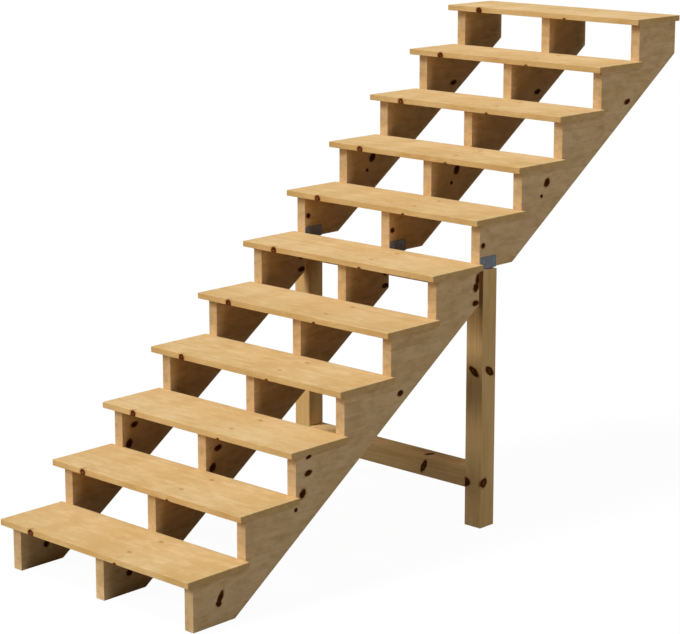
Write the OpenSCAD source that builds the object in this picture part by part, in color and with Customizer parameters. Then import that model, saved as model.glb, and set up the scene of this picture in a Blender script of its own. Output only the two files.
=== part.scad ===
// Outdoor timber staircase in two flights, one above the other in a straight line.
// The lower flight stands on the ground and ends against a header board. The upper
// flight stands on steel brackets on top of a two-post frame just behind that header.
// Eleven plain boards lie in the notches of three sawn stringers a flight.
// Millimetres. X across the steps, Y in the direction of climbing, Z up.
// Origin: on the ground, on the first riser line, midway between the outer stringers.

/* [Steps] */
// Height from one tread to the next
rise = 171; // [130:1:210]
// Distance from one riser line to the next
going = 248; // [200:1:320]
// Number of treads in the lower flight
lower_steps = 6; // [3:1:9]
// Number of treads in the upper flight
upper_steps = 5; // [2:1:8]

/* [Treads] */
// Length of a tread from end to end
tread_length = 1000; // [700:10:1400]
// Thickness of a tread
tread_thickness = 23; // [18:0.5:40]
// How far a tread reaches out over the one below
nosing = 41; // [10:1:60]
// How far a tread's ends reach past the outer stringers
tread_overhang = 20; // [0:1:60]
// Rounding along the long edges of a tread
tread_rounding = 1.5; // [0.5:0.5:5]

/* [Stringers] */
// Thickness of a stringer
stringer_thickness = 43; // [30:1:60]
// Wood left below the notches, measured square to the slope
stringer_waist = 111; // [70:1:160]

/* [Frame under the upper flight] */
// Side of a square post, and of the top beam between the posts
post_size = 80; // [60:1:120]
// How far the left post stands out past the left stringers; the right one is flush
frame_reach = 38; // [0:1:80]
// How far the frame's top falls from front to back, to shed rain
frame_fall = 7; // [0:1:15]
// Thickness of the header board between the lower flight and the posts
header_thickness = 24; // [18:1:45]
// Height of the header board
header_height = 86; // [60:1:130]
// Height of the cross rail between the posts
rail_height = 82; // [50:1:120]
// Height of the cross rail's underside above the ground
rail_lift = 152; // [60:1:300]

/* [Brackets] */
// Thickness of the bracket steel
bracket_thickness = 2.5; // [1.5:0.5:6]
// Height of the upright leg on the stringer's side
bracket_leg = 45; // [30:1:80]
// Radius of the rounded corners of both legs
bracket_corner = 8; // [1:1:10]
// How far a bracket ends short of the posts' back
bracket_setback = 8; // [0:1:20]
// Diameter of the screw holes
screw_hole = 5.5; // [4:0.5:8]
// Diameter of a screw head, let in flush where a stringer stands over it
screw_head = 9; // [7:0.5:12]
// Distance of the screw holes from the bracket's ends
screw_inset = 20; // [12:1:30]

/* [Hidden] */
$fn = 48;
past = 1;  // how far a cutting shape runs past what it cuts

tread_count = lower_steps + upper_steps;
tread_depth = nosing + going;
pitch = atan(rise / going);
stringer_drop = stringer_waist / cos(pitch);   // height of a plumb cut through the waist
foot_length = stringer_drop / tan(pitch);      // length of a stringer's level foot
outer_face = tread_length / 2 - tread_overhang;
outer_centre = outer_face - stringer_thickness / 2;

frame_front = lower_steps * going + header_thickness;
frame_top = lower_steps * rise;
frame_left = -outer_face - frame_reach;
frame_right = outer_face;
bay_width = frame_right - frame_left - 2 * post_size;  // clear width between the posts
bay_centre = (frame_left + frame_right) / 2;
upper_base = frame_top + bracket_thickness;    // where the upper stringers stand

// The bracket lies on the header board and reaches back over the post behind it
bracket_length = header_thickness + post_size - bracket_setback;
bracket_foot = stringer_thickness;

SIDES = ["left", "middle", "right"];
POST_SIDES = ["left", "right"];

function side_sign(side) = side == "left" ? -1 : side == "right" ? 1 : 0;
function post_centre(side) =
    side == "left" ? frame_left + post_size / 2 : frame_right - post_size / 2;
function tread_name(i) = str("tread_", i < 10 ? "0" : "", i);

// Lays an outline drawn in (Y, Z) across the stair, centred on the given X
module across(width, centre = 0) {
    translate([centre - width / 2, 0, 0])
        rotate([90, 0, 90])
            linear_extrude(width)
                children();
}

// Rectangle with round corners
module rounded_rectangle(size, radius) {
    translate([radius, 0])
        square([size.x - 2 * radius, size.y]);
    translate([0, radius])
        square([size.x, size.y - 2 * radius]);
    for (x = [radius, size.x - radius], y = [radius, size.y - radius])
        translate([x, y])
            circle(radius);
}

// Plain board on its notches. The treads of the upper flight stand on its higher base
module tread(i) {
    base = i > lower_steps ? bracket_thickness : 0;
    color("burlywood")
        across(tread_length)
            translate([(i - 1) * going - nosing, i * rise + base])
                rounded_rectangle([tread_depth, tread_thickness], tread_rounding);
}

// Side view of a sawn stringer: one notch a step, a level foot,
// an underside along the slope and a plumb cut at the upper end
module stringer_outline(steps) {
    notches = [
        for (i = [0 : steps - 1])
            each [[i * going, i * rise], [i * going, (i + 1) * rise]]
    ];
    top_end = [steps * going, steps * rise];
    polygon(concat(notches, [top_end, top_end - [0, stringer_drop], [foot_length, 0]]));
}

module lower_stringer(side) {
    color("tan")
        across(stringer_thickness, side_sign(side) * outer_centre)
            stringer_outline(lower_steps);
}

module upper_stringer(side) {
    color("tan")
        across(stringer_thickness, side_sign(side) * outer_centre)
            translate([lower_steps * going, upper_base])
                stringer_outline(upper_steps);
}

// End view of the folded plate, with the inside of the fold at the origin
module folded_plate() {
    square([bracket_thickness, bracket_leg]);
    translate([-bracket_foot, -bracket_thickness])
        square([bracket_foot, bracket_thickness]);
    intersection() {
        circle(bracket_thickness);
        translate([0, -bracket_thickness])
            square(bracket_thickness);
    }
}

// Outline of one leg seen square on: its two free corners are round
module leg_outline(reach) {
    rounded_rectangle([bracket_length, reach], bracket_corner);
    square([bracket_length, reach - bracket_corner]);
}

// Steel angle: one leg under the stringer, the other up its right-hand side
module bracket(side) {
    fold_x = side_sign(side) * outer_centre + stringer_thickness / 2;
    screw_places = [screw_inset, bracket_length - screw_inset];
    color("slategray")
        translate([fold_x, lower_steps * going, upper_base])
            difference() {
                intersection() {
                    rotate([90, 0, 0])
                        mirror([0, 0, 1])
                            linear_extrude(bracket_length)
                                folded_plate();
                    union() {
                        upright_leg_blank();
                        foot_leg_blank();
                    }
                }
                for (y = screw_places) {
                    upright_screw_hole(y);
                    foot_screw_hole(y);
                }
            }
}

module upright_leg_blank() {
    translate([-past, 0, -bracket_thickness])
        rotate([90, 0, 90])
            linear_extrude(bracket_thickness + 2 * past)
                leg_outline(bracket_leg + bracket_thickness);
}

module foot_leg_blank() {
    translate([0, 0, -bracket_thickness - past])
        rotate([0, 0, 90])
            linear_extrude(bracket_thickness + past)
                leg_outline(bracket_foot);
}

module upright_screw_hole(y) {
    translate([-past, y, bracket_leg / 2])
        rotate([0, 90, 0])
            cylinder(h = bracket_thickness + 2 * past, d = screw_hole);
}

// Countersunk, because the stringer stands on the screw head
module foot_screw_hole(y) {
    translate([-bracket_foot / 2, y, -bracket_thickness - past]) {
        cylinder(h = bracket_thickness + 2 * past, d = screw_hole);
        translate([0, 0, past])
            cylinder(h = bracket_thickness, d1 = screw_hole, d2 = screw_head);
    }
}

// Side view of the frame from the given height up, under its sloping top
module frame_outline(bottom) {
    frame_back = frame_front + post_size;
    polygon([
        [frame_front, bottom],
        [frame_back, bottom],
        [frame_back, frame_top - frame_fall],
        [frame_front, frame_top]
    ]);
}

module post(side) {
    color("burlywood")
        across(post_size, post_centre(side))
            frame_outline(0);
}

// Reaches to the middle of the outer stringers, so that its ends stay out of sight
module header_board() {
    color("burlywood")
        translate([-outer_centre, lower_steps * going, frame_top - header_height])
            cube([2 * outer_centre, header_thickness, header_height]);
}

module top_beam() {
    color("burlywood")
        across(bay_width, bay_centre)
            frame_outline(frame_top - post_size);
}

module cross_rail() {
    color("burlywood")
        across(bay_width, bay_centre)
            translate([frame_front, rail_lift])
                square([post_size, rail_height]);
}

for (i = [1 : tread_count])
    tread(i);
for (side = SIDES) {
    lower_stringer(side);
    upper_stringer(side);
    bracket(side);
}
for (side = POST_SIDES)
    post(side);
header_board();
top_beam();
cross_rail();
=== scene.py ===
import math

import bmesh
import bpy
from mathutils import Matrix, Vector


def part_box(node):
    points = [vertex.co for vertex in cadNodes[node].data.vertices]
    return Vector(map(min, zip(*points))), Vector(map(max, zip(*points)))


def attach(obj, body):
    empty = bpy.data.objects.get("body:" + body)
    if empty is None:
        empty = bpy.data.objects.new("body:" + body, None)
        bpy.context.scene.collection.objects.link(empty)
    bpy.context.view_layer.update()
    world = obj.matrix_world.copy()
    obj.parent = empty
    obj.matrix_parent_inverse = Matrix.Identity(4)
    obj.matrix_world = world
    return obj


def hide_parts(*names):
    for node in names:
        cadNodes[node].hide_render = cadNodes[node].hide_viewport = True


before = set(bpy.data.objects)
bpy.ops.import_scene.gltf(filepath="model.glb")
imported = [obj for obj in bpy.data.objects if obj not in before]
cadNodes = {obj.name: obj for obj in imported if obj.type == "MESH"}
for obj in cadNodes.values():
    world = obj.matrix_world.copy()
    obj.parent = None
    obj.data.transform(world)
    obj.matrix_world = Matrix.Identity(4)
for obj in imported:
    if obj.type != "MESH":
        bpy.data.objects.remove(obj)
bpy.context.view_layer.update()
scene = bpy.context.scene
print("frame loaded,", len(cadNodes), "nodes")


# Camera, looking up the stair from its right-hand side
viewpoint = {
    "place": (5.6636, -4.7838, 2.7289),
    "turn": 42.572,  # degrees to the left of the climbing direction
    "fall": 11.375,  # degrees below level
    "roll": 0.145,
    "lens": 116.55,
    "sensor": 36.0,
    "shift": (-0.0392, -0.0952),
    "reach": 200.0,  # metres that the camera sees
}


def setCamera(view):
    camera = bpy.data.objects.new("stairCamera", bpy.data.cameras.new("stairCamera"))
    scene.collection.objects.link(camera)
    camera.data.lens = view["lens"]
    camera.data.sensor_width = view["sensor"]
    camera.data.shift_x, camera.data.shift_y = view["shift"]
    camera.data.clip_end = view["reach"]
    camera.matrix_world = (
        Matrix.Translation(view["place"])
        @ Matrix.Rotation(math.radians(view["turn"]), 4, "Z")
        @ Matrix.Rotation(math.radians(90 - view["fall"]), 4, "X")
        @ Matrix.Rotation(math.radians(view["roll"]), 4, "Z")
    )
    scene.camera = camera


setCamera(viewpoint)
print("camera set")


# Treads of the two flights, in climbing order
lowerCount = 6
treads = sorted(name for name in cadNodes if name.startswith("tread_"))
lowerTreads, upperTreads = treads[:lowerCount], treads[lowerCount:]
treadLow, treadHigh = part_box(treads[0])
treadSize = treadHigh - treadLow


def gap(first, second):
    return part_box(second)[0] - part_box(first)[0]


# Small helpers for node trees
def addNode(tree, kind, inputs=None, **settings):
    node = tree.nodes.new(kind)
    for name, value in settings.items():
        setattr(node, name, value)
    for key, value in (inputs or {}).items():
        setInput(tree, node.inputs[key], value)
    return node


def setInput(tree, socket, value):
    if isinstance(value, bpy.types.NodeSocket):
        tree.links.new(value, socket)
    else:
        socket.default_value = value


def calc(tree, operation, *values):
    node = addNode(tree, "ShaderNodeMath", dict(enumerate(values)), operation=operation)
    return node.outputs[0]


def vectorCalc(tree, operation, *values):
    node = addNode(tree, "ShaderNodeVectorMath", dict(enumerate(values)), operation=operation)
    return node.outputs["Value" if operation in ("LENGTH", "DISTANCE") else "Vector"]


def split(tree, vector):
    return addNode(tree, "ShaderNodeSeparateXYZ", {"Vector": vector}).outputs


def ramp(tree, value, start, end, low=0.0, high=1.0):
    inputs = {"Value": value, "From Min": start, "From Max": end, "To Min": low, "To Max": high}
    return addNode(tree, "ShaderNodeMapRange", inputs, interpolation_type="SMOOTHSTEP").outputs["Result"]


def centred(tree, value, width, middle=0.0):
    # Spreads a value of 0 to 1 over a width about its middle
    return calc(tree, "MULTIPLY_ADD", value, width, middle - width / 2)


def mixColour(tree, amount, first, second, mode="MIX"):
    node = tree.nodes.new("ShaderNodeMix")
    node.data_type = "RGBA"
    node.blend_type = mode
    # The colour sockets share their names with the others, so they are counted
    for place, value in ((0, amount), (6, first), (7, second)):
        setInput(tree, node.inputs[place], value)
    return node.outputs[2]


def tint(tree, amount, colour, by):
    return mixColour(tree, amount, colour, by, "MULTIPLY")


def mixValue(tree, amount, first, second):
    return addNode(tree, "ShaderNodeMix", {0: amount, 2: first, 3: second}).outputs[0]


def levelStops(tree, value, stops):
    # A curve through the given places and levels
    node = addNode(tree, "ShaderNodeValToRGB", {"Fac": value})
    curve = node.color_ramp
    curve.interpolation = "EASE"
    while len(curve.elements) < len(stops):
        curve.elements.new(0.5)
    for element, (position, level) in zip(curve.elements, stops):
        element.position = position
        element.color = (level, level, level, 1.0)
    return split(tree, node.outputs["Color"])["X"]


def noise(tree, place, stretch, shift=(0.0, 0.0, 0.0), detail=2.0, roughness=0.5):
    # Stretch counts the features to a metre along the three axes
    scaled = vectorCalc(tree, "MULTIPLY", place, stretch)
    moved = vectorCalc(tree, "ADD", scaled, shift)
    inputs = {"Vector": moved, "Scale": 1.0, "Detail": detail, "Roughness": roughness}
    return addNode(tree, "ShaderNodeTexNoise", inputs).outputs["Fac"]


def startMaterial(name):
    material = bpy.data.materials.new(name)
    material.use_nodes = True
    return material, material.node_tree


def paint(red, green, blue):
    # A colour written in 0 to 255 as seen on a screen, made linear
    shares = [value / 255 for value in (red, green, blue)]
    linear = [s / 12.92 if s <= 0.04045 else ((s + 0.055) / 1.055) ** 2.4 for s in shares]
    return (*linear, 1.0)


# Knots: place along, across and through the board, the three radii, and the turns in degrees
# about the board's thickness and about its width. The stringers' knots go through the board
treadKnots = [
    ((0.172, 0.000, 0.008), (0.014, 0.020, 0.014), (0, 0)),
    ((0.628, 0.000, 0.000), (0.008, 0.012, 0.006), (0, 0)),
]
faintTreadKnots = [
    ((0.618, 0.078, 0.023), (0.010, 0.006, 0.006), (-25, 0)),
    ((0.618, 0.226, 0.023), (0.011, 0.007, 0.006), (-25, 0)),
]
stringerKnots = [
    ((0.127, 0.095, 0.0215), (0.0125, 0.026, 0.050), (-27, 0)),
    ((0.118, 0.074, 0.0215), (0.014, 0.012, 0.046), (-20, 0)),
    ((0.560, 0.497, 0.0215), (0.015, 0.007, 0.050), (10, 0)),
    ((0.557, 0.439, 0.0215), (0.019, 0.011, 0.050), (10, 0)),
    ((0.529, 0.369, 0.0215), (0.015, 0.020, 0.050), (-35, 0)),
    ((0.495, 0.318, 0.0215), (0.009, 0.008, 0.015), (0, 0)),
    ((1.043, 0.634, 0.0215), (0.017, 0.012, 0.050), (15, 0)),
    ((1.480, 0.993, 0.0215), (0.015, 0.022, 0.050), (-12, 0)),
    ((1.468, 0.963, 0.0215), (0.016, 0.020, 0.050), (-25, 0)),
    ((1.467, 0.902, 0.0215), (0.021, 0.011, 0.050), (0, 0)),
    ((1.507, 1.117, 0.0215), (0.013, 0.011, 0.050), (0, 0)),
    ((1.891, 1.312, 0.0215), (0.016, 0.021, 0.050), (-45, 0)),
    ((1.859, 1.262, 0.0215), (0.009, 0.008, 0.014), (0, 0)),
    ((2.405, 1.579, 0.0215), (0.021, 0.011, 0.050), (12, 0)),
]
postKnots = [
    ((0.620, -0.0010, -0.0400), (0.014, 0.028, 0.020), (35, 0)),
    ((0.174, -0.0360, -0.0400), (0.019, 0.023, 0.020), (0, 0)),
    ((0.622, 0.0400, 0.0030), (0.015, 0.020, 0.029), (0, -35)),
    ((0.181, 0.0400, -0.0230), (0.021, 0.018, 0.019), (0, -28)),
]
railKnots = [
    ((0.188, -0.001, -0.0400), (0.012, 0.029, 0.014), (-27, 0)),
    ((0.188, 0.041, -0.0060), (0.012, 0.010, 0.022), (0, 22)),
]


def nearestKnot(tree, place, knots):
    # Distance to the nearest knot, counted in that knot's own radius
    nearest = None
    for centre, radii, (slant, tip) in knots:
        inputs = {
            "Vector": place,
            "Location": centre,
            "Rotation": (0.0, math.radians(tip), math.radians(slant)),
            "Scale": radii,
        }
        local = addNode(tree, "ShaderNodeMapping", inputs, vector_type="TEXTURE").outputs["Vector"]
        distance = vectorCalc(tree, "LENGTH", local)
        nearest = distance if nearest is None else calc(tree, "MINIMUM", nearest, distance)
    return nearest


# Look of planed, knotty pine. Lengths are in metres
pineLook = {
    "pale": paint(228, 197, 146),
    "warm": paint(210, 172, 114),
    "toneStretch": (3.2, 11.0, 11.0),
    "streaks": 0.4,  # share of long streaks in the tone
    "evenness": 0.16,  # low for patches with clear edges
    "warmth": [],  # places along the board, as shares of its length, and how warm it is there
    "length": 1.0,
    "mottle": 0.0,  # share of grey stain
    "aura": 0.0,  # clear wood about the knots
    "lateWood": (0.80, 0.70, 0.58, 1.0),
    "stain": (0.80, 0.78, 0.74, 1.0),
    "fleck": 0.5,
    "fleckTint": (0.62, 0.52, 0.40, 1.0),
    "halo": paint(186, 120, 58),
    "haloReach": 1.5,  # in radii of the knot
    "haloShare": 0.35,
    "knot": paint(104, 62, 22),
    "bark": paint(64, 28, 3),
    "heart": (0.25, 0.95, 0.0, 1.0),  # two places in radii, and the knot colour's share at each
    "endTint": (0.90, 0.85, 0.78, 1.0),
    "edgeTint": (0.95, 0.925, 0.83, 1.0),
    "ringGap": 0.0034,
    "ringDepth": 0.35,
    "wander": 0.012,
    "swirl": 0.010,  # how far a knot pushes the year rings aside
    "stave": 0.0,  # width of the glued staves, none in whole wood
    "pith": (0.0, -0.09),
    "relief": 0.0004,
}

# The pattern that all pine shares. A stretch counts features to a metre along, across and
# through the board. An edge is where a pattern sets in and where it is full
pinePattern = {
    "shift": (20.0, 20.0, 20.0),  # how far apart the patterns of two boards are taken
    "pithSpread": (0.03, 0.04),  # how much the pith's place differs between boards
    "wanderStretch": (1.6, 7.0, 7.0),
    "rippleStretch": (9.0, 60.0, 60.0),
    "ripple": 0.0012,
    "swirlReach": 4.5,  # in radii of the knot
    "ringRise": (0.25, 0.88),  # late wood sets in slowly and ends sharply
    "ringFall": (0.90, 1.0),
    "yearScale": 0.37,
    "yearEdge": (0.3, 0.7),
    "faintYear": 0.35,
    "jointWidth": 0.0012,
    "jointDepth": 0.35,
    "streakStretch": (2.6, 60.0, 60.0),
    "boardChange": 0.12,  # change of tone from board to board
    "driftStretch": (14.0, 14.0, 14.0),
    "drift": 0.06,
    "warmShare": 0.45,
    "cloudStretch": (16.0, 30.0, 30.0),
    "stainEdge": (0.42, 0.68),
    "auraEdge": (2.0, 5.5),
    "auraCloud": (0.40, 0.60, 1.0, 0.3),
    "fleckStretch": (34.0, 95.0, 95.0),
    "fleckChoice": (0.72, 1.0),  # only the cells that draw a high number hold a fleck
    "fleckSize": 0.24,
    "fleckEdge": (-0.06, 0.02),
    "fibreStretch": (7.0, 520.0, 520.0),
    "fibreEdge": (0.52, 0.75),
    "fibreDepth": 0.30,
    "raggedStretch": (85.0, 85.0, 85.0),
    "ragged": 0.70,
    "haloStart": 0.9,
    "coreEdge": (0.80, 1.12),
    "patchEdge": (0.40, 0.62),
    "faintEdge": (0.5, 2.0),
    "faintDepth": 0.45,
    "facingPower": 4,
}

# How the pattern stands in relief and how dull it is
pineSurface = {
    "late": 0.35,
    "fibre": 0.65,
    "joint": 0.8,
    "rim": 0.6,  # groove round a knot
    "rimRise": (0.70, 0.92),
    "rimFall": (0.95, 1.15),
    "strength": 0.35,
    "roughness": 0.54,
    "fibreRoughness": 0.16,
    "specular": 0.01,
}


def readAttribute(tree, name, output):
    return addNode(tree, "ShaderNodeAttribute", attribute_name=name).outputs[output]


def cutStaves(tree, width, across):
    # Place across the own stave, the stave's number, and 1 on a glued joint
    if not width:
        return across, 0.0, 0.0
    staves = calc(tree, "DIVIDE", across, width)
    aside = calc(tree, "SUBTRACT", calc(tree, "FRACT", staves), 0.5)
    edge = calc(tree, "ABSOLUTE", aside)
    joint = ramp(tree, edge, 0.5 - pinePattern["jointWidth"] / width, 0.5)
    return calc(tree, "MULTIPLY", aside, width), calc(tree, "FLOOR", staves), joint


def readBoard(tree, look):
    # Where a point lies in its board, and what chance gives each board or stave
    place = readAttribute(tree, "boardPlace", "Vector")
    number = readAttribute(tree, "boardNumber", "Fac")
    axes = split(tree, place)
    across, stave, joint = cutStaves(tree, look["stave"], axes["Y"])
    seed = addNode(tree, "ShaderNodeCombineXYZ", {"X": number, "Y": stave}).outputs[0]
    dice = addNode(tree, "ShaderNodeTexWhiteNoise", {"Vector": seed}, noise_dimensions="3D")
    chance = dice.outputs["Color"]
    return {
        "place": place,
        "along": axes["X"],
        "across": across,
        "through": axes["Z"],
        "joint": joint,
        "chances": split(tree, chance),
        "shift": vectorCalc(tree, "MULTIPLY", chance, pinePattern["shift"]),
        "facings": split(tree, readAttribute(tree, "boardFacing", "Vector")),
    }


def growKnots(tree, board, knots, faintKnots):
    # Distances to the knots. The ragged one gives their rims an uneven outline
    place = board["place"]
    strong = nearestKnot(tree, place, knots)
    faint = nearestKnot(tree, place, faintKnots)
    uneven = noise(tree, place, pinePattern["raggedStretch"], board["shift"], detail=3.0, roughness=0.6)
    return {
        "faint": faint,
        "nearest": calc(tree, "MINIMUM", strong, faint) if faintKnots else strong,
        "uneven": uneven,
        "ragged": calc(tree, "ADD", strong, centred(tree, uneven, pinePattern["ragged"])),
    }


def fromPith(tree, place, chance, axis, look):
    # Squared distance to the pith along one axis. The pith lies elsewhere in each board
    pith = centred(tree, chance, pinePattern["pithSpread"][axis], look["pith"][axis])
    distance = calc(tree, "SUBTRACT", place, pith)
    return calc(tree, "MULTIPLY", distance, distance)


def growRings(tree, look, board, knots):
    # 1 in the late wood of each year ring. Rings lie round the pith and bend round the knots
    pattern, place, shift = pinePattern, board["place"], board["shift"]
    wander = noise(tree, place, pattern["wanderStretch"], shift)
    sideways = fromPith(tree, board["across"], board["chances"]["X"], 0, look)
    inward = fromPith(tree, board["through"], board["chances"]["Y"], 1, look)
    radius = calc(tree, "SQRT", calc(tree, "ADD", sideways, inward))
    radius = calc(tree, "ADD", radius, centred(tree, wander, look["wander"]))
    swirl = ramp(tree, knots["nearest"], 0.0, pattern["swirlReach"], look["swirl"], 0.0)
    radius = calc(tree, "ADD", radius, swirl)
    ripple = noise(tree, place, pattern["rippleStretch"], shift)
    radius = calc(tree, "MULTIPLY_ADD", ripple, pattern["ripple"], radius)
    rings = calc(tree, "DIVIDE", radius, look["ringGap"])
    phase = calc(tree, "FRACT", rings)
    fall = ramp(tree, phase, *pattern["ringFall"], 1.0, 0.0)
    late = calc(tree, "MULTIPLY", ramp(tree, phase, *pattern["ringRise"]), fall)
    yearInputs = {"W": calc(tree, "FLOOR", rings), "Scale": pattern["yearScale"], "Detail": 1.0}
    year = addNode(tree, "ShaderNodeTexNoise", yearInputs, noise_dimensions="1D").outputs["Fac"]
    depth = ramp(tree, year, *pattern["yearEdge"], pattern["faintYear"], 1.0)
    return calc(tree, "MULTIPLY", late, depth)


def broadTone(tree, look, board):
    pattern, place, shift = pinePattern, board["place"], board["shift"]
    tone = noise(tree, place, look["toneStretch"], shift, detail=4.0, roughness=0.6)
    streak = noise(tree, place, pattern["streakStretch"], shift, detail=3.0, roughness=0.6)
    blend = mixValue(tree, look["streaks"], tone, streak)
    blend = calc(tree, "ADD", blend, centred(tree, board["chances"]["Z"], pattern["boardChange"]))
    warmer = ramp(tree, blend, 0.5 - look["evenness"], 0.5 + look["evenness"])
    if look["warmth"]:
        drift = noise(tree, place, pattern["driftStretch"], shift)
        share = calc(tree, "MULTIPLY_ADD", drift, pattern["drift"], board["along"])
        share = calc(tree, "DIVIDE", share, look["length"])
        share = calc(tree, "SUBTRACT", share, pattern["drift"] / 2)
        bands = levelStops(tree, share, look["warmth"])
        warmer = mixValue(tree, pattern["warmShare"], warmer, bands)
    return mixColour(tree, warmer, look["pale"], look["warm"])


def addClouds(tree, colour, look, board, knots):
    # Grey stain in clouds, and clear wood about the knots
    pattern = pinePattern
    cloud = noise(tree, board["place"], pattern["cloudStretch"], board["shift"],
                  detail=4.0, roughness=0.6)
    stain = ramp(tree, cloud, *pattern["stainEdge"], 0.0, look["mottle"])
    colour = tint(tree, stain, colour, look["stain"])
    aura = ramp(tree, knots["nearest"], *pattern["auraEdge"], look["aura"], 0.0)
    aura = calc(tree, "MULTIPLY", aura, ramp(tree, cloud, *pattern["auraCloud"]))
    return mixColour(tree, aura, colour, look["pale"])


def addFlecks(tree, colour, look, board):
    pattern = pinePattern
    spots = vectorCalc(tree, "MULTIPLY", board["place"], pattern["fleckStretch"])
    cells = addNode(tree, "ShaderNodeTexVoronoi", {"Vector": spots}).outputs
    size = split(tree, cells["Color"])["X"]
    size = ramp(tree, size, *pattern["fleckChoice"], 0.0, pattern["fleckSize"])
    edge = calc(tree, "SUBTRACT", cells["Distance"], size)
    flecks = ramp(tree, edge, *pattern["fleckEdge"], look["fleck"], 0.0)
    return tint(tree, flecks, colour, look["fleckTint"])


def addKnots(tree, colour, look, knots):
    pattern, ragged = pinePattern, knots["ragged"]
    halo = ramp(tree, ragged, pattern["haloStart"], look["haloReach"], look["haloShare"], 0.0)
    colour = tint(tree, halo, colour, look["halo"])
    core = ramp(tree, ragged, *pattern["coreEdge"], 1.0, 0.0)
    patches = ramp(tree, knots["uneven"], *pattern["patchEdge"])
    heart = calc(tree, "MULTIPLY", patches, ramp(tree, ragged, *look["heart"]))
    colour = mixColour(tree, core, colour, mixColour(tree, heart, look["bark"], look["knot"]))
    if knots["faint"] is not None:
        faint = ramp(tree, knots["faint"], *pattern["faintEdge"], pattern["faintDepth"], 0.0)
        colour = tint(tree, faint, colour, look["halo"])
    return colour


def pineRelief(tree, look, board, knots, late, fibre):
    # Late wood stands a little proud, joints and the rims of knots lie a little deep
    surface, ragged = pineSurface, knots["ragged"]
    height = calc(tree, "ADD", calc(tree, "MULTIPLY", late, surface["late"]),
                  calc(tree, "MULTIPLY", fibre, surface["fibre"]))
    joint = calc(tree, "MULTIPLY", board["joint"], surface["joint"])
    height = calc(tree, "SUBTRACT", height, joint)
    rim = calc(tree, "MULTIPLY", ramp(tree, ragged, *surface["rimRise"]),
               ramp(tree, ragged, *surface["rimFall"], 1.0, 0.0))
    height = calc(tree, "SUBTRACT", height, calc(tree, "MULTIPLY", rim, surface["rim"]))
    inputs = {"Strength": surface["strength"], "Distance": look["relief"], "Height": height}
    return addNode(tree, "ShaderNodeBump", inputs).outputs["Normal"]


def pineFinish(name, look, knotPlaces, faintKnotPlaces=()):
    material, tree = startMaterial(name)
    sockets = tree.nodes["Principled BSDF"].inputs
    pattern, surface = pinePattern, pineSurface
    board = readBoard(tree, look)
    knots = growKnots(tree, board, knotPlaces, faintKnotPlaces)
    late = growRings(tree, look, board, knots)
    fibre = noise(tree, board["place"], pattern["fibreStretch"], board["shift"],
                  detail=3.0, roughness=0.65)

    colour = broadTone(tree, look, board)
    if look["mottle"]:
        colour = addClouds(tree, colour, look, board, knots)
    colour = addFlecks(tree, colour, look, board)
    colour = tint(tree, calc(tree, "MULTIPLY", late, look["ringDepth"]), colour, look["lateWood"])
    strands = ramp(tree, fibre, *pattern["fibreEdge"], 0.0, pattern["fibreDepth"])
    colour = tint(tree, strands, colour, look["lateWood"])
    colour = tint(tree, board["facings"]["X"], colour, look["endTint"])
    colour = tint(tree, board["facings"]["Y"], colour, look["edgeTint"])
    if look["stave"]:
        joint = calc(tree, "MULTIPLY", board["joint"], pattern["jointDepth"])
        colour = tint(tree, joint, colour, look["lateWood"])
    colour = addKnots(tree, colour, look, knots)

    dullness = calc(tree, "MULTIPLY_ADD", fibre, surface["fibreRoughness"], surface["roughness"])
    setInput(tree, sockets["Base Color"], colour)
    setInput(tree, sockets["Roughness"], dullness)
    setInput(tree, sockets["Normal"], pineRelief(tree, look, board, knots, late, fibre))
    sockets["Specular IOR Level"].default_value = surface["specular"]
    return material


treadLook = {
    **pineLook,
    "stave": treadSize.y / 2,
    "length": treadSize.x,
    "warmth": [(0.0, 0.75), (0.14, 0.1), (0.21, 0.75), (0.30, 0.1), (0.47, 0.9), (0.58, 0.6),
               (0.77, 0.05), (0.93, 0.95), (1.0, 0.7)],
    "toneStretch": (13.0, 25.0, 25.0),
    "streaks": 0.30,
    "evenness": 0.10,
    "fleck": 0.75,
    "haloReach": 1.7,
    "haloShare": 0.6,
    "knot": paint(156, 100, 56),
    "bark": paint(68, 28, 8),
    "heart": (0.2, 0.7, 0.9, 0.0),
}
stringerLook = {
    **pineLook,
    "pale": paint(224, 192, 146),
    "warm": paint(212, 176, 125),
    "endTint": (0.98, 0.96, 0.94, 1.0),
    "edgeTint": (1.0, 1.0, 1.0, 1.0),
    "stave": 0.050,
    "toneStretch": (9.0, 20.0, 20.0),
    "streaks": 0.25,
    "ringDepth": 0.18,
    "mottle": 0.9,
    "aura": 0.6,
}
frameLook = {
    **pineLook,
    "pale": paint(226, 190, 134),
    "warm": paint(206, 164, 103),
    "edgeTint": (1.0, 1.0, 1.0, 1.0),
    "ringDepth": 0.5,
    "knot": paint(140, 83, 36),
    "heart": (0.2, 0.8, 0.9, 0.0),
}
treadPine = pineFinish("treadPine", treadLook, treadKnots, faintTreadKnots)
stringerPine = pineFinish("stringerPine", stringerLook, stringerKnots)
postPine = pineFinish("postPine", {**frameLook, "pith": (0.01, 0.05)}, postKnots)
railPine = pineFinish("railPine", {**frameLook, "pith": (0.02, 0.06)}, railKnots)
print("pine finishes made")


# Galvanised steel of the brackets and their screws
steelLook = {
    "dark": (0.15, 0.165, 0.185, 1.0),
    "light": (0.26, 0.275, 0.295, 1.0),
    "flower": 90.0,  # zinc flowers to a metre
    "cloudStretch": (35.0, 35.0, 35.0),
    "flowerShare": 0.4,
    "roughness": 0.6,
    "flowerRoughness": 0.15,
    "specular": 0.1,
    "metallic": 0.1,
    "bump": 0.2,
    "relief": 0.0002,
}


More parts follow.
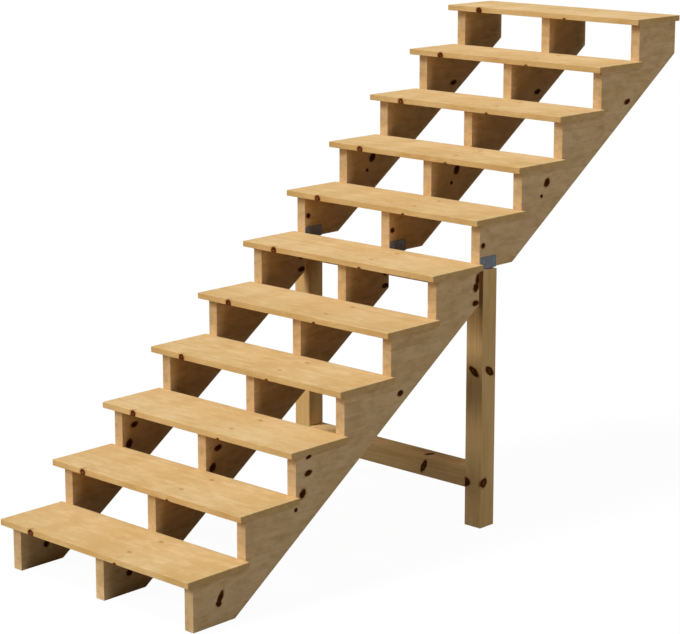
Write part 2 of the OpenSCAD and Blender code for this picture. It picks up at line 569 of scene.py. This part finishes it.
def steelFinish(name, look):
    material, tree = startMaterial(name)
    sockets = tree.nodes["Principled BSDF"].inputs
    place = addNode(tree, "ShaderNodeTexCoord").outputs["Object"]
    flowers = addNode(tree, "ShaderNodeTexVoronoi", {"Vector": place, "Scale": look["flower"]})
    shade = split(tree, flowers.outputs["Color"])["X"]
    cloud = noise(tree, place, look["cloudStretch"], detail=3.0)
    amount = calc(tree, "ADD", calc(tree, "MULTIPLY", shade, look["flowerShare"]),
                  calc(tree, "MULTIPLY", cloud, 1 - look["flowerShare"]))
    dullness = calc(tree, "MULTIPLY_ADD", shade, look["flowerRoughness"], look["roughness"])
    inputs = {"Strength": look["bump"], "Distance": look["relief"], "Height": amount}
    bump = addNode(tree, "ShaderNodeBump", inputs)
    setInput(tree, sockets["Base Color"], mixColour(tree, amount, look["dark"], look["light"]))
    setInput(tree, sockets["Roughness"], dullness)
    setInput(tree, sockets["Normal"], bump.outputs["Normal"])
    sockets["Specular IOR Level"].default_value = look["specular"]
    sockets["Metallic"].default_value = look["metallic"]
    return material


bracketSteel = steelFinish("bracketSteel", steelLook)
screwSteel = steelFinish("screwSteel", {**steelLook, "dark": (0.42, 0.40, 0.34, 1.0), "flower": 400.0})
print("steel finishes made")


# Mesh helpers
arrisSettings = {
    "merge": 1e-5,
    "flat": 1,  # degrees, edges below this are joined into one face
    "sharp": 20,  # degrees, edges above this are eased
    "segments": 3,
}


def plainMesh(carrier, name):
    # The evaluated result of a carrier's modifiers, as a mesh object of its own
    bpy.context.view_layer.update()
    evaluated = carrier.evaluated_get(bpy.context.evaluated_depsgraph_get())
    mesh = bpy.data.meshes.new_from_object(evaluated)
    mesh.name = name
    carrier.modifiers.clear()
    bpy.data.objects.remove(carrier)
    piece = bpy.data.objects.new(name, mesh)
    scene.collection.objects.link(piece)
    return piece


def easeArrises(mesh, radius):
    # Rounds every outward edge, as a planer or sandpaper leaves it
    sizes = arrisSettings
    sharp = math.radians(sizes["sharp"])
    shape = bmesh.new()
    shape.from_mesh(mesh)
    bmesh.ops.remove_doubles(shape, verts=shape.verts, dist=sizes["merge"])
    bmesh.ops.dissolve_limit(shape, angle_limit=math.radians(sizes["flat"]), verts=shape.verts,
                             edges=shape.edges)
    outward = [edge for edge in shape.edges if edge.is_convex and edge.calc_face_angle(0.0) > sharp]
    bmesh.ops.bevel(shape, geom=outward, offset=radius, offset_type="OFFSET",
                    segments=sizes["segments"], profile=0.5, affect="EDGES", clamp_overlap=True,
                    material=-1)
    bmesh.ops.recalc_face_normals(shape, faces=shape.faces)
    shape.to_mesh(mesh)
    shape.free()


def storeGrain(mesh, number, placeOf, axes):
    # Board coordinates, board number and how far a face looks along, across or through its
    # board, all read by the pine finishes
    mesh.attributes.new("boardPlace", "FLOAT_VECTOR", "POINT")
    mesh.attributes.new("boardFacing", "FLOAT_VECTOR", "FACE")
    if "boardNumber" not in mesh.attributes:
        mesh.attributes.new("boardNumber", "FLOAT", "POINT")
        for value in mesh.attributes["boardNumber"].data:
            value.value = number
    numbers = [value.value for value in mesh.attributes["boardNumber"].data]
    for place, vertex, own in zip(mesh.attributes["boardPlace"].data, mesh.vertices, numbers):
        place.vector = placeOf(vertex.co, own)
    power = pinePattern["facingPower"]
    for facing, face in zip(mesh.attributes["boardFacing"].data, mesh.polygons):
        facing.vector = [face.normal[axis] ** power for axis in axes]


# Geometry Nodes: a rule is a tree with named inputs, run on an empty carrier
def startRule(name, sizes):
    tree = bpy.data.node_groups.new(name, "GeometryNodeTree")
    tree.interface.new_socket("Geometry", in_out="OUTPUT", socket_type="NodeSocketGeometry")
    for label, kind in sizes.items():
        tree.interface.new_socket(label, in_out="INPUT", socket_type="NodeSocket" + kind)
    return tree, tree.nodes.new("NodeGroupInput").outputs


def endRule(tree, geometry, finish):
    solid = addNode(tree, "GeometryNodeRealizeInstances", {"Geometry": geometry}).outputs[0]
    inputs = {"Geometry": solid, "Material": finish}
    finished = addNode(tree, "GeometryNodeSetMaterial", inputs).outputs[0]
    tree.links.new(finished, tree.nodes.new("NodeGroupOutput").inputs["Geometry"])
    return tree


def runRule(name, tree, settings):
    carrier = bpy.data.objects.new(name + "Carrier", bpy.data.meshes.new(name + "Carrier"))
    scene.collection.objects.link(carrier)
    modifier = carrier.modifiers.new(tree.name, "NODES")
    modifier.node_group = tree
    for socket in tree.interface.items_tree:
        if socket.in_out == "INPUT":
            modifier[socket.identifier] = settings[socket.name]
    return plainMesh(carrier, name)


# Treads: one board a step
treadSettings = {
    "arris": 0.0015,  # radius of the eased edges
}


def treadRule():
    tree, given = startRule("treadRule", {
        "Count": "Int",
        "First Centre": "Vector",
        "Board Size": "Vector",
        "Step": "Vector",
        "Finish": "Material",
    })
    board = addNode(tree, "GeometryNodeMeshCube", {"Size": given["Board Size"]}).outputs["Mesh"]
    line = {"Count": given["Count"], "Start Location": given["First Centre"], "Offset": given["Step"]}
    places = addNode(tree, "GeometryNodeMeshLine", line, mode="OFFSET").outputs["Mesh"]
    inputs = {"Points": places, "Instance": board}
    laid = addNode(tree, "GeometryNodeInstanceOnPoints", inputs).outputs[0]
    index = addNode(tree, "GeometryNodeInputIndex").outputs[0]
    inputs = {"Geometry": laid, "Name": "boardNumber", "Value": index}
    numbered = addNode(tree, "GeometryNodeStoreNamedAttribute", inputs,
                       data_type="FLOAT", domain="INSTANCE").outputs[0]
    return endRule(tree, numbered, given["Finish"])


def layTreads(name, nodes, firstNumber):
    low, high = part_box(nodes[0])
    step = gap(*nodes[:2])
    boards = runRule(name, treadTree, {
        "Count": len(nodes),
        "First Centre": (low + high) / 2,
        "Board Size": high - low,
        "Step": step,
        "Finish": treadPine,
    })
    easeArrises(boards.data, treadSettings["arris"])
    storeGrain(boards.data, None, lambda co, number: co - low - step * number, (0, 1, 2))
    for value in boards.data.attributes["boardNumber"].data:
        value.value += firstNumber
    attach(boards, "root")
    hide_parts(*nodes)


treadTree = treadRule()
layTreads("lowerTreads", lowerTreads, 1)
layTreads("upperTreads", upperTreads, 1 + lowerCount)
print("treads laid")


# Stringers and frame timbers: the frame's own shapes with eased arrises. The board numbers
# only choose each board's pattern
timberSettings = {
    "stringerArris": 0.0015,
    "postArris": 0.002,
    "firstStringer": 21,
    "firstPost": 30,
    "firstRail": 32,
}


def easedTimber(name, node, radius, finish, number, placeOf, axes):
    piece = bpy.data.objects.new(name, cadNodes[node].data.copy())
    scene.collection.objects.link(piece)
    piece.data.materials.clear()
    piece.data.materials.append(finish)
    easeArrises(piece.data, radius)
    storeGrain(piece.data, number, placeOf, axes)
    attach(piece, "root")
    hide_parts(node)


def sawStringers(sizes):
    places = [(flight, side) for flight in ("lower", "upper") for side in ("left", "middle", "right")]
    for number, (flight, side) in enumerate(places, sizes["firstStringer"]):
        node = f"{flight}_stringer_{side}"
        low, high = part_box(node)
        middle = (low.x + high.x) / 2
        easedTimber(f"{flight}Stringer.{side}", node, sizes["stringerArris"], stringerPine,
                    number,
                    lambda co, own: Vector((co.y, co.z, co.x - middle)), (1, 2, 0))


def raisePosts(sizes):
    for number, side in enumerate(("left", "right"), sizes["firstPost"]):
        low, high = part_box(f"post_{side}")
        centre = (low + high) / 2
        easedTimber(f"post.{side}", f"post_{side}", sizes["postArris"], postPine,
                    number,
                    lambda co, own: Vector((co.z, co.x - centre.x, co.y - centre.y)), (2, 0, 1))


def layRails(sizes):
    for number, node in enumerate(("header_board", "top_beam", "cross_rail"), sizes["firstRail"]):
        low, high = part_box(node)
        centre = (low + high) / 2
        easedTimber(node.replace("_", "."), node, sizes["postArris"], railPine,
                    number,
                    lambda co, own: Vector((co.x, co.z - centre.z, co.y - centre.y)), (0, 2, 1))


sawStringers(timberSettings)
raisePosts(timberSettings)
layRails(timberSettings)
print("stringers and frame made")


# Brackets: the frame's shape is right, only the finish is added
bracketNodes = ["bracket_left", "bracket_middle", "bracket_right"]
for node in bracketNodes:
    bracket = cadNodes[node]
    bracket.data.materials.clear()
    bracket.data.materials.append(bracketSteel)
print("brackets finished")


# Pan-head screws in the upright leg of each bracket
screwSettings = {
    "turns": 24,  # points round a head
    "headRadius": 0.0047,
    "headHeight": 0.0027,
    "rim": 0.3,  # height of the head's straight rim, as a share of the head's
    "dome": (0.0, 0.12, 0.45, 0.8, 1.1),  # angles of the rings that round the head off
    "lobes": 6,
    "lobeDepth": 0.16,
    "recessRadius": 0.0017,
    "recessDepth": 0.0013,
    "recessTaper": 0.92,
    "inset": 0.020,
    "upright": 0.0225,  # height of the screws above the fold
    "steel": 0.0025,
    "seed": 7,  # each screw stops at a turn of its own
}


def screwRings(sizes):
    # Radii and height of each ring, from the bracket up to the recess's floor
    turns, height, rim = sizes["turns"], sizes["headHeight"], sizes["rim"]
    rings = []
    for angle in sizes["dome"]:
        rise = height * math.sin(angle) * (1 - rim) + height * rim * (angle > 0)
        rings.append(([sizes["headRadius"] * math.cos(angle)] * turns, rise))
    lobed = [1 + sizes["lobeDepth"] * math.cos(sizes["lobes"] * 2 * math.pi * k / turns)
             for k in range(turns)]
    mouth = [sizes["recessRadius"] * lobe for lobe in lobed]
    rings.append((mouth, height))
    rings.append(([radius * sizes["recessTaper"] for radius in mouth], height - sizes["recessDepth"]))
    return rings


def screwHead(sizes):
    # Dome with a six-lobed recess, facing +X
    turns = sizes["turns"]
    angles = [2 * math.pi * k / turns for k in range(turns)]
    shape = bmesh.new()
    loops = []
    for radii, rise in screwRings(sizes):
        loops.append([
            shape.verts.new((rise, radius * math.cos(angle), radius * math.sin(angle)))
            for radius, angle in zip(radii, angles)
        ])
    for lower, upper in zip(loops, loops[1:]):
        for k in range(turns):
            after = (k + 1) % turns
            shape.faces.new((lower[k], lower[after], upper[after], upper[k]))
    shape.faces.new(loops[0])
    shape.faces.new(loops[-1])
    bmesh.ops.recalc_face_normals(shape, faces=shape.faces)
    mesh = bpy.data.meshes.new("screwHead")
    shape.to_mesh(mesh)
    shape.free()
    head = bpy.data.objects.new("screwHead", mesh)
    scene.collection.objects.link(head)
    return head


def screwRule():
    tree, given = startRule("screwRule", {
        "First Screw": "Vector",
        "Along Bracket": "Vector",
        "Next Bracket": "Vector",
        "Brackets": "Int",
        "Head": "Object",
        "Seed": "Int",
        "Finish": "Material",
    })
    head = addNode(tree, "GeometryNodeObjectInfo", {"Object": given["Head"]}).outputs["Geometry"]
    row = {
        "Count": given["Brackets"],
        "Start Location": given["First Screw"],
        "Offset": given["Next Bracket"],
    }
    brackets = addNode(tree, "GeometryNodeMeshLine", row, mode="OFFSET").outputs["Mesh"]
    two = {"Count": 2, "Offset": given["Along Bracket"]}
    pair = addNode(tree, "GeometryNodeMeshLine", two, mode="OFFSET").outputs["Mesh"]
    inputs = {"Points": brackets, "Instance": pair}
    spread = addNode(tree, "GeometryNodeInstanceOnPoints", inputs).outputs[0]
    points = addNode(tree, "GeometryNodeRealizeInstances", {"Geometry": spread}).outputs[0]
    inputs = {"Seed": given["Seed"], "Min": (0.0, 0.0, 0.0), "Max": (math.pi, 0.0, 0.0)}
    dice = addNode(tree, "FunctionNodeRandomValue", inputs, data_type="FLOAT_VECTOR")
    inputs = {"Points": points, "Instance": head, "Rotation": dice.outputs["Value"]}
    heads = addNode(tree, "GeometryNodeInstanceOnPoints", inputs).outputs[0]
    return endRule(tree, heads, given["Finish"])


def driveScrews(sizes):
    low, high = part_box(bracketNodes[0])
    level = low.z + sizes["steel"] + sizes["upright"]
    head = screwHead(sizes)
    screws = runRule("bracketScrews", screwRule(), {
        "First Screw": Vector((high.x, low.y + sizes["inset"], level)),
        "Along Bracket": Vector((0.0, high.y - low.y - 2 * sizes["inset"], 0.0)),
        "Next Bracket": gap(*bracketNodes[:2]),
        "Brackets": len(bracketNodes),
        "Head": head,
        "Seed": sizes["seed"],
        "Finish": screwSteel,
    })
    bpy.data.objects.remove(head)
    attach(screws, "root")


driveScrews(screwSettings)
print("screws driven")


# Floor and light
studio = {
    "floorHalf": 40.0,
    "fill": 0.03,  # light from all round
    "floorGlow": 0.965,  # what the camera sees of the floor is mostly this, the rest takes the shadow
    "floorSeen": (0.045, 0.045, 0.045, 1.0),
    "floorBounce": (0.12, 0.12, 0.115, 1.0),
    "footCard": (0.60, 0.60, 0.58, 1.0),  # pale card before the first step, which only throws light back
    "cardPlace": (-0.1, -0.60, 0.0),
    "cardEdge": (0.4, 0.8),
    "backdrop": (1.0, 1.0, 1.0, 1.0),
    "suns": {
        # power, spread in degrees, direction it comes from
        "highKey": (1.82, 16.0, (-0.18, -0.31, 0.93)),
        "midKey": (1.45, 18.0, (-0.29, -0.74, 0.60)),
        "lowFront": (0.92, 40.0, (-0.52, -0.82, 0.22)),
        "sideFill": (0.78, 12.0, (1.0, -0.01, 0.05)),
        "backFill": (0.60, 30.0, (-0.25, 1.0, 0.22)),
        "sideHigh": (0.25, 14.0, (0.74, 0.0, 0.67)),
    },
}


def seenShare(tree):
    # 1 for rays that show the backdrop itself: straight, mirrored or through glass
    path = addNode(tree, "ShaderNodeLightPath").outputs
    mirrored = calc(tree, "MAXIMUM", path["Is Glossy Ray"], path["Is Transmission Ray"])
    return calc(tree, "MAXIMUM", path["Is Camera Ray"], mirrored)


def floorFinish(look):
    material, tree = startMaterial("paleFloor")
    tree.nodes.remove(tree.nodes["Principled BSDF"])
    place = addNode(tree, "ShaderNodeTexCoord").outputs["Object"]
    reach = vectorCalc(tree, "DISTANCE", place, look["cardPlace"])
    card = ramp(tree, reach, *look["cardEdge"], 1.0, 0.0)
    cast = mixColour(tree, card, look["floorBounce"], look["footCard"])
    bounce = addNode(tree, "ShaderNodeBsdfDiffuse", {"Color": cast}).outputs[0]
    shadowed = addNode(tree, "ShaderNodeBsdfDiffuse", {"Color": look["floorSeen"]}).outputs[0]
    glow = addNode(tree, "ShaderNodeEmission", {"Strength": look["floorGlow"]}).outputs[0]
    seen = addNode(tree, "ShaderNodeAddShader", {0: shadowed, 1: glow}).outputs[0]
    mix = addNode(tree, "ShaderNodeMixShader", {0: seenShare(tree), 1: bounce, 2: seen}).outputs[0]
    tree.links.new(mix, tree.nodes["Material Output"].inputs["Surface"])
    return material


def layFloor(look):
    half = look["floorHalf"]
    corners = [(-half, -half, 0), (half, -half, 0), (half, half, 0), (-half, half, 0)]
    mesh = bpy.data.meshes.new("paleFloor")
    mesh.from_pydata(corners, [], [(0, 1, 2, 3)])
    mesh.materials.append(floorFinish(look))
    floor = bpy.data.objects.new("paleFloor", mesh)
    scene.collection.objects.link(floor)


def lightStudio(look):
    world = bpy.data.worlds.new("studio")
    scene.world = world
    world.use_nodes = True
    tree = world.node_tree
    background = tree.nodes["Background"].inputs
    background["Color"].default_value = look["backdrop"]
    setInput(tree, background["Strength"], ramp(tree, seenShare(tree), 0.0, 1.0, look["fill"], 1.0))
    for name, (power, spread, comesFrom) in look["suns"].items():
        sun = bpy.data.objects.new(name, bpy.data.lights.new(name, "SUN"))
        sun.data.energy = power
        sun.data.angle = math.radians(spread)
        sun.rotation_euler = Vector(comesFrom).to_track_quat("Z", "Y").to_euler()
        scene.collection.objects.link(sun)


layFloor(studio)
lightStudio(studio)
scene.view_settings.view_transform = "Standard"
print("studio lit")
